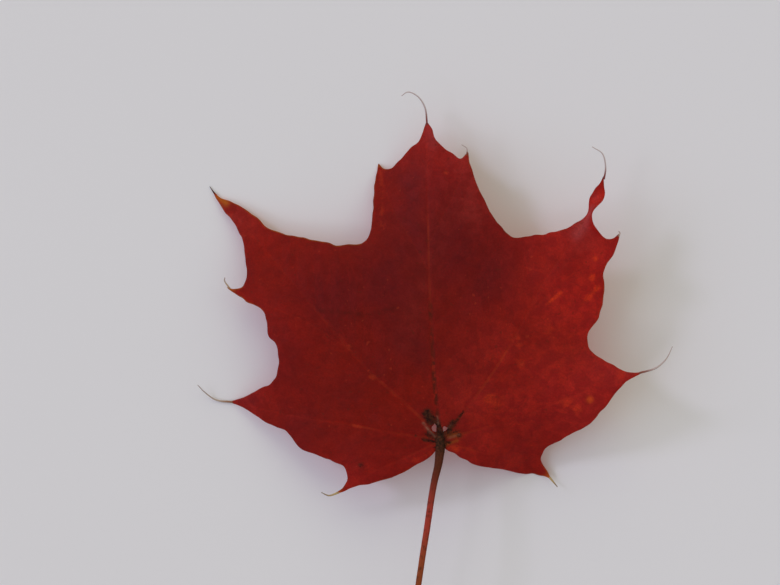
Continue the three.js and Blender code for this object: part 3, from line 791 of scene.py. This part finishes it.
class Paint:
    """A material's nodes, with a short call for each kind of node."""

    def __init__(self, name, roughness, specular):
        self.material = bpy.data.materials.new(name)
        self.material.use_nodes = True
        self.tree = self.material.node_tree
        self.surface = self.tree.nodes["Principled BSDF"]
        self.surface.inputs["Roughness"].default_value = roughness
        self.surface.inputs["Specular IOR Level"].default_value = specular
        self.places = self.tree.nodes.new("ShaderNodeTexCoord").outputs["Object"]

    def put(self, value, socket):
        """Links a node's output to the socket, or sets the socket to a plain value."""
        if isinstance(value, bpy.types.NodeSocket):
            self.tree.links.new(value, socket)
        else:
            socket.default_value = value

    def attribute(self, name):
        node = self.tree.nodes.new("ShaderNodeAttribute")
        node.attribute_name = name
        return node.outputs["Fac"]

    def area(self, name, share):
        """One of the blade's coloured areas, made weaker by the share."""
        return self.times(self.attribute(name), share)

    def noise(self, size_mm, detail=3.0, roughness=0.55, distortion=0.0):
        """Cloudy noise from 0 to 1, with patches of about this size."""
        node = self.tree.nodes.new("ShaderNodeTexNoise")
        self.put(self.places, node.inputs["Vector"])
        node.inputs["Scale"].default_value = 1000 / size_mm
        node.inputs["Detail"].default_value = detail
        node.inputs["Roughness"].default_value = roughness
        node.inputs["Distortion"].default_value = distortion
        return node.outputs["Fac"]

    def cells(self, size_mm, feature):
        """Random cells of this size: a colour for each, or the distance to their edges."""
        node = self.tree.nodes.new("ShaderNodeTexVoronoi")
        node.feature = feature
        self.put(self.places, node.inputs["Vector"])
        node.inputs["Scale"].default_value = 1000 / size_mm
        return node.outputs["Color" if feature == "F1" else "Distance"]

    def maths(self, operation, first, second=0.0):
        node = self.tree.nodes.new("ShaderNodeMath")
        node.operation = operation
        self.put(first, node.inputs[0])
        self.put(second, node.inputs[1])
        return node.outputs[0]

    def times(self, first, second):
        return self.maths("MULTIPLY", first, second)

    def ramp(self, value, low, high, out_low=0.0, out_high=1.0):
        """value, eased from out_low at low to out_high at high."""
        node = self.tree.nodes.new("ShaderNodeMapRange")
        node.interpolation_type = "SMOOTHSTEP"
        self.put(value, node.inputs["Value"])
        limits = {"From Min": low, "From Max": high, "To Min": out_low, "To Max": out_high}
        for name, number in limits.items():
            node.inputs[name].default_value = number
        return node.outputs[0]

    def blend(self, share, first, second, mode="MIX"):
        """The first colour, turning into the second as the share grows."""
        node = self.tree.nodes.new("ShaderNodeMix")
        node.data_type = "RGBA"
        node.blend_type = mode
        for index, value in ((0, share), (6, first), (7, second)):
            if isinstance(value, tuple):
                value = (*value, 1.0)
            self.put(value, node.inputs[index])
        return node.outputs[2]

    def bump(self, height, depth_mm):
        node = self.tree.nodes.new("ShaderNodeBump")
        node.inputs["Distance"].default_value = depth_mm * MM
        self.put(height, node.inputs["Height"])
        self.put(node.outputs[0], self.surface.inputs["Normal"])

    def over(self, share, colour, mode="MIX"):
        """Lays a colour over the paint's shade, as strongly as the share."""
        self.shade = self.blend(share, self.shade, colour, mode)

    def let_light_through(self, share, gain):
        """Mixes in light that passes through the thin sheet, in a brighter shade."""
        through = self.tree.nodes.new("ShaderNodeBsdfTranslucent")
        self.put(self.blend(1.0, self.shade, gain, "MULTIPLY"), through.inputs["Color"])
        mix = self.tree.nodes.new("ShaderNodeMixShader")
        mix.inputs[0].default_value = share
        self.put(self.surface.outputs[0], mix.inputs[1])
        self.put(through.outputs[0], mix.inputs[2])
        self.put(mix.outputs[0], self.tree.nodes["Material Output"].inputs["Surface"])

    def finished(self):
        """The material, with the shade as its surface's colour."""
        self.put(self.shade, self.surface.inputs["Base Color"])
        return self.material


def vein_network(paint):
    """Closeness to the finest veins, from two sizes of meshes."""
    coarse = paint.ramp(paint.cells(2.6, "DISTANCE_TO_EDGE"), 0.0, 0.09, 1.0, 0.0)
    fine = paint.ramp(paint.cells(0.9, "DISTANCE_TO_EDGE"), 0.0, 0.12, 0.55, 0.0)
    return paint.maths("MAXIMUM", coarse, fine)


def vein_lines(paint):
    """Closeness to the main veins, and to the side veins."""
    main = paint.maths("SUBTRACT", paint.attribute("main_gap"),
                       paint.times(paint.attribute("main_radius"), 0.3))
    return (paint.ramp(main, 0.02, 0.26, 1.0, 0.0),
            paint.ramp(paint.attribute("side_gap"), 0.04, 0.3, 1.0, 0.0))


def unevenness(paint, patch):
    """The brightness of the tissue, from fine grain, the meshes of the veins and small patches."""
    grain = paint.ramp(paint.noise(0.55, 3, 0.7), 0.3, 0.7, 0.9, 1.1)
    mesh = paint.ramp(paint.cells(1.1, "F1"), 0.0, 1.0, 0.95, 1.05)
    patches = paint.ramp(patch, 0.0, 1.0, 0.94, 1.06)
    return paint.times(grain, paint.times(mesh, patches))


def dead_tissue(paint):
    """How dead and brown the tissue is: ragged spots round the scorched places."""
    ragged = paint.times(paint.noise(1.1, 4, 0.7, 1.5), 1.5)
    return paint.ramp(paint.maths("ADD", paint.attribute("scorch"), ragged), 1.0, 1.45, 0.0, 0.95)


def upper_reds(paint, mottle, patch):
    """The upper face's reds, from maroon to glowing orange, with its mauve and grey patches: dust,
    and painted sheen where light glances off the blade.
    """
    paint.shade = paint.blend(paint.ramp(mottle, 0.35, 0.7), UPPER["bright_red"], UPPER["deep_red"])
    paint.over(paint.area("maroon", paint.ramp(mottle, 0.3, 0.6, 0.75, 1.0)), UPPER["maroon"])
    blush = paint.blend(patch, UPPER["orange_red"], UPPER["light_red"])
    paint.over(paint.attribute("blush"), blush)
    glow = paint.area("glow", paint.ramp(patch, 0.0, 1.0, 0.6, 1.0))
    paint.over(paint.ramp(glow, 0.2, 0.9, 0.0, 0.8), UPPER["glow"])
    # Painted sheen and dust: a greyish lighter red over the dust_and_sheen areas.
    paint.over(paint.area("dust_and_sheen", paint.ramp(patch, 0.0, 1.0, 0.45, 0.75)), UPPER["dust_and_sheen"])
    # Painted sheen: mauve grey on the rolled tip's neck, fainter near two other tips.
    paint.over(paint.area("ash_and_sheen", 0.7), UPPER["ash_and_sheen"])
    paint.over(1.0, unevenness(paint, patch), "MULTIPLY")


def upper_veins(paint, patch, network):
    """Its veins, the dark dashes along them and the painted shade along a crease."""
    meshes = paint.ramp(paint.attribute("blush"), 0.0, 1.0, 0.12, 0.3)
    paint.over(paint.times(network, meshes), UPPER["network"])
    main, side = vein_lines(paint)
    paint.over(paint.times(side, 0.12), UPPER["side_vein"])
    strong = paint.ramp(paint.attribute("main_radius"), 0.36, 0.46)
    line = paint.times(main, paint.ramp(paint.area("vein_show", strong), 0.0, 1.0, 0.06, 0.65))
    paint.over(paint.times(line, paint.ramp(patch, 0.0, 1.0, 0.6, 1.0)), UPPER["main_vein"])
    dashes = paint.area("vein_dark", paint.ramp(paint.noise(1.6, 3), 0.36, 0.56))
    beside = paint.ramp(paint.attribute("main_gap"), 0.2, 0.95, 0.95, 0.0)
    paint.over(paint.times(beside, dashes), UPPER["vein_dark"])
    # Painted shade: a broken dark line along the crease.
    broken = paint.ramp(paint.noise(1.4, 3), 0.38, 0.6, 0.2, 0.5)
    paint.over(paint.area("crease_shade", broken), UPPER["crease_shade"])


def upper_marks(paint):
    """Its yellow edge, its specks and its dry and dead tissue."""
    edge = paint.ramp(paint.attribute("margin_gap"), 0.05, 0.4, 1.0, 0.0)
    edge = paint.times(edge, paint.ramp(paint.attribute("rim"), 0.0, 1.0, 0.1, 0.85))
    edge = paint.times(edge, paint.ramp(paint.noise(3, 3), 0.35, 0.6, 0.4, 1.0))
    paint.over(edge, UPPER["edge"])
    speck = paint.noise(1.5, 1, 0.5)
    paint.over(paint.ramp(speck, 0.72, 0.80, 0.0, 0.35), UPPER["light_speck"])
    paint.over(paint.ramp(speck, 0.22, 0.30, 0.4, 0.0), UPPER["dark_speck"])
    paint.over(paint.attribute("ochre"), UPPER["ochre"])
    ashen = paint.ramp(paint.noise(0.9, 3, 0.6), 0.4, 0.62)
    brown = paint.blend(ashen, UPPER["burnt"], UPPER["brown"])
    paint.over(dead_tissue(paint), brown)
    paint.over(paint.area("tan", paint.ramp(ashen, 0.0, 1.0, 0.5, 1.0)), UPPER["tan"])


def upper_face():
    """The blade's upper face, which the photo shows."""
    paint = Paint("leaf_upper_face", 0.6, 0.12)
    mottle = paint.noise(14, 4, 0.6)
    patch = paint.ramp(paint.noise(3.2, 3, 0.5, 0.4), 0.34, 0.66)
    network = vein_network(paint)
    upper_reds(paint, mottle, patch)
    upper_veins(paint, patch, network)
    upper_marks(paint)
    grain = paint.noise(1.3, 4, 0.6)
    paint.put(paint.ramp(grain, 0.3, 0.7, 0.5, 0.68), paint.surface.inputs["Roughness"])
    paint.bump(paint.maths("SUBTRACT", paint.times(grain, 0.5), network), 0.015)
    paint.let_light_through(*UPPER_THROUGH)
    return paint.finished()


def lower_face():
    """The blade's lower face: paler, with raised veins."""
    paint = Paint("leaf_lower_face", 0.65, 0.3)
    mottle = paint.noise(12, 4, 0.6)
    grain = paint.noise(1.1, 4, 0.6)
    paint.shade = paint.blend(paint.ramp(mottle, 0.35, 0.7), LOWER["light_red"], LOWER["deep_red"])
    paint.over(paint.attribute("blush"), LOWER["orange_red"])
    paint.over(paint.ramp(grain, 0.3, 0.75, 0.0, 0.3), LOWER["grain"])
    network = vein_network(paint)
    paint.over(paint.times(network, 0.45), LOWER["network"])
    main, side = vein_lines(paint)
    paint.over(paint.times(side, 0.7), LOWER["side_vein"])
    wide = paint.maths("DIVIDE", paint.attribute("main_gap"), paint.attribute("main_radius"))
    wide = paint.ramp(wide, 0.8, 1.3, 1.0, 0.0)
    paint.over(paint.maths("MAXIMUM", main, wide), LOWER["main_vein"])
    paint.over(paint.attribute("ochre"), LOWER["ochre"])
    paint.over(dead_tissue(paint), LOWER["brown"])
    paint.bump(paint.maths("ADD", paint.times(grain, 0.35), network), 0.05)
    paint.let_light_through(*LOWER_THROUGH)
    return paint.finished()


def stalk_skin():
    """The stalk: near black at its top, then red, then brown, with dark blotches."""
    paint = Paint("leaf_stalk_skin", 0.7, 0.06)
    along = paint.attribute("along")
    blotch = paint.noise(2.2, 4, 0.65)
    grain = paint.noise(0.6, 3, 0.6)
    paint.shade = paint.blend(paint.ramp(grain, 0.35, 0.65), *STALK_JOINT)
    for start, end, colour in STALK_COLOURS:
        paint.over(paint.ramp(along, start, end), colour)
    paint.over(paint.ramp(blotch, 0.52, 0.66, 0.0, 0.6), STALK_BLOTCH)
    paint.over(paint.ramp(grain, 0.45, 0.7, 0.0, 0.25), STALK_GRAIN)
    paint.over(paint.ramp(along, 0.985, 1.0), STALK_SCAR)
    paint.bump(grain, 0.04)
    return paint.finished()


def bristle_skin():
    """The bristles: each pale or yellow, by its warmth."""
    paint = Paint("leaf_bristle_skin", 0.65, 0.1)
    along = paint.attribute("along")
    pale = paint.blend(paint.ramp(along, 0.06, 0.4), *BRISTLE_PALE)
    yellow = paint.blend(paint.ramp(along, 0.2, 0.9), *BRISTLE_YELLOW)
    paint.shade = paint.blend(paint.attribute("warmth"), pale, yellow)
    paint.bump(paint.noise(0.5, 3), 0.03)
    return paint.finished()


def floor_skin():
    paint = Paint("floor_skin", 0.6, 0.3)
    paint.shade = paint.blend(paint.noise(160, 2, 0.5), *FLOOR_GREYS)
    return paint.finished()


# ---- Stage, light and camera ----

VIEW_CENTRE = (-13.5, 41.7)      # the middle of the picture, in the leaf's axes
VIEW_DISTANCE = 550
VIEW_PLANE = 12                  # the height at which the picture's width is measured
VIEW_WIDTH = 210.6
SENSOR = 36
CAMERA_REACH, FLOOR_SIZE = 10, 4     # in metres
SKY_STRENGTH = 0.4

# Soft lights, as name, bearing, elevation, spread and the strength of red, green and blue.
LIGHTS = [
    ("window", 153, 32, 10, (0.44, 0.43, 0.59)),
    ("window_glow", 180, 35, 50, (0.62, 0.61, 0.85)),
    ("second_window", 214, 45, 11, (0.11, 0.11, 0.12)),
    ("far_wall", 90, 30, 50, (0.68, 0.67, 0.43)),
    ("side_wall", 20, 30, 50, (0.36, 0.35, 0.23)),
]


def make_camera():
    """The camera, straight above the leaf as in the photo."""
    data = bpy.data.cameras.new("camera")
    data.sensor_width = SENSOR
    data.lens = SENSOR * VIEW_DISTANCE / VIEW_WIDTH
    data.clip_end = CAMERA_REACH
    camera = bpy.data.objects.new("camera", data)
    place = Vector((*VIEW_CENTRE, VIEW_PLANE + VIEW_DISTANCE))
    camera.location = leaf_origin() + place * MM
    bpy.context.scene.collection.objects.link(camera)
    bpy.context.scene.camera = camera


def make_floor():
    """The pale surface that the leaf lies on."""
    bpy.ops.mesh.primitive_plane_add(size=FLOOR_SIZE)
    floor = bpy.context.object
    floor.name = "floor"
    floor.data.materials.append(floor_skin())


def make_light(name, bearing, elevation, spread, strength):
    """A distant soft light, at a bearing counter-clockwise from +X, with its spread in degrees."""
    data = bpy.data.lights.new(name, "SUN")
    data.angle = math.radians(spread)
    data.energy = max(strength)
    data.color = [part / max(strength) for part in strength]
    light = bpy.data.objects.new(name, data)
    turn, lift = math.radians(bearing), math.radians(elevation)
    towards = Vector((math.cos(turn) * math.cos(lift), math.sin(turn) * math.cos(lift),
                      math.sin(lift)))
    light.rotation_euler = towards.to_track_quat("Z", "Y").to_euler()
    bpy.context.scene.collection.objects.link(light)


def make_sky():
    """An even white light from everywhere."""
    world = bpy.data.worlds.new("soft_room")
    world.use_nodes = True
    background = world.node_tree.nodes["Background"]
    background.inputs["Color"].default_value = (1.0, 1.0, 1.0, 1.0)
    background.inputs["Strength"].default_value = SKY_STRENGTH
    bpy.context.scene.world = world


bpy.context.scene.view_settings.view_transform = "Standard"
make_camera()
make_floor()
for light in LIGHTS:
    make_light(*light)
make_sky()

make_blade()
make_stalk()
make_bristles()
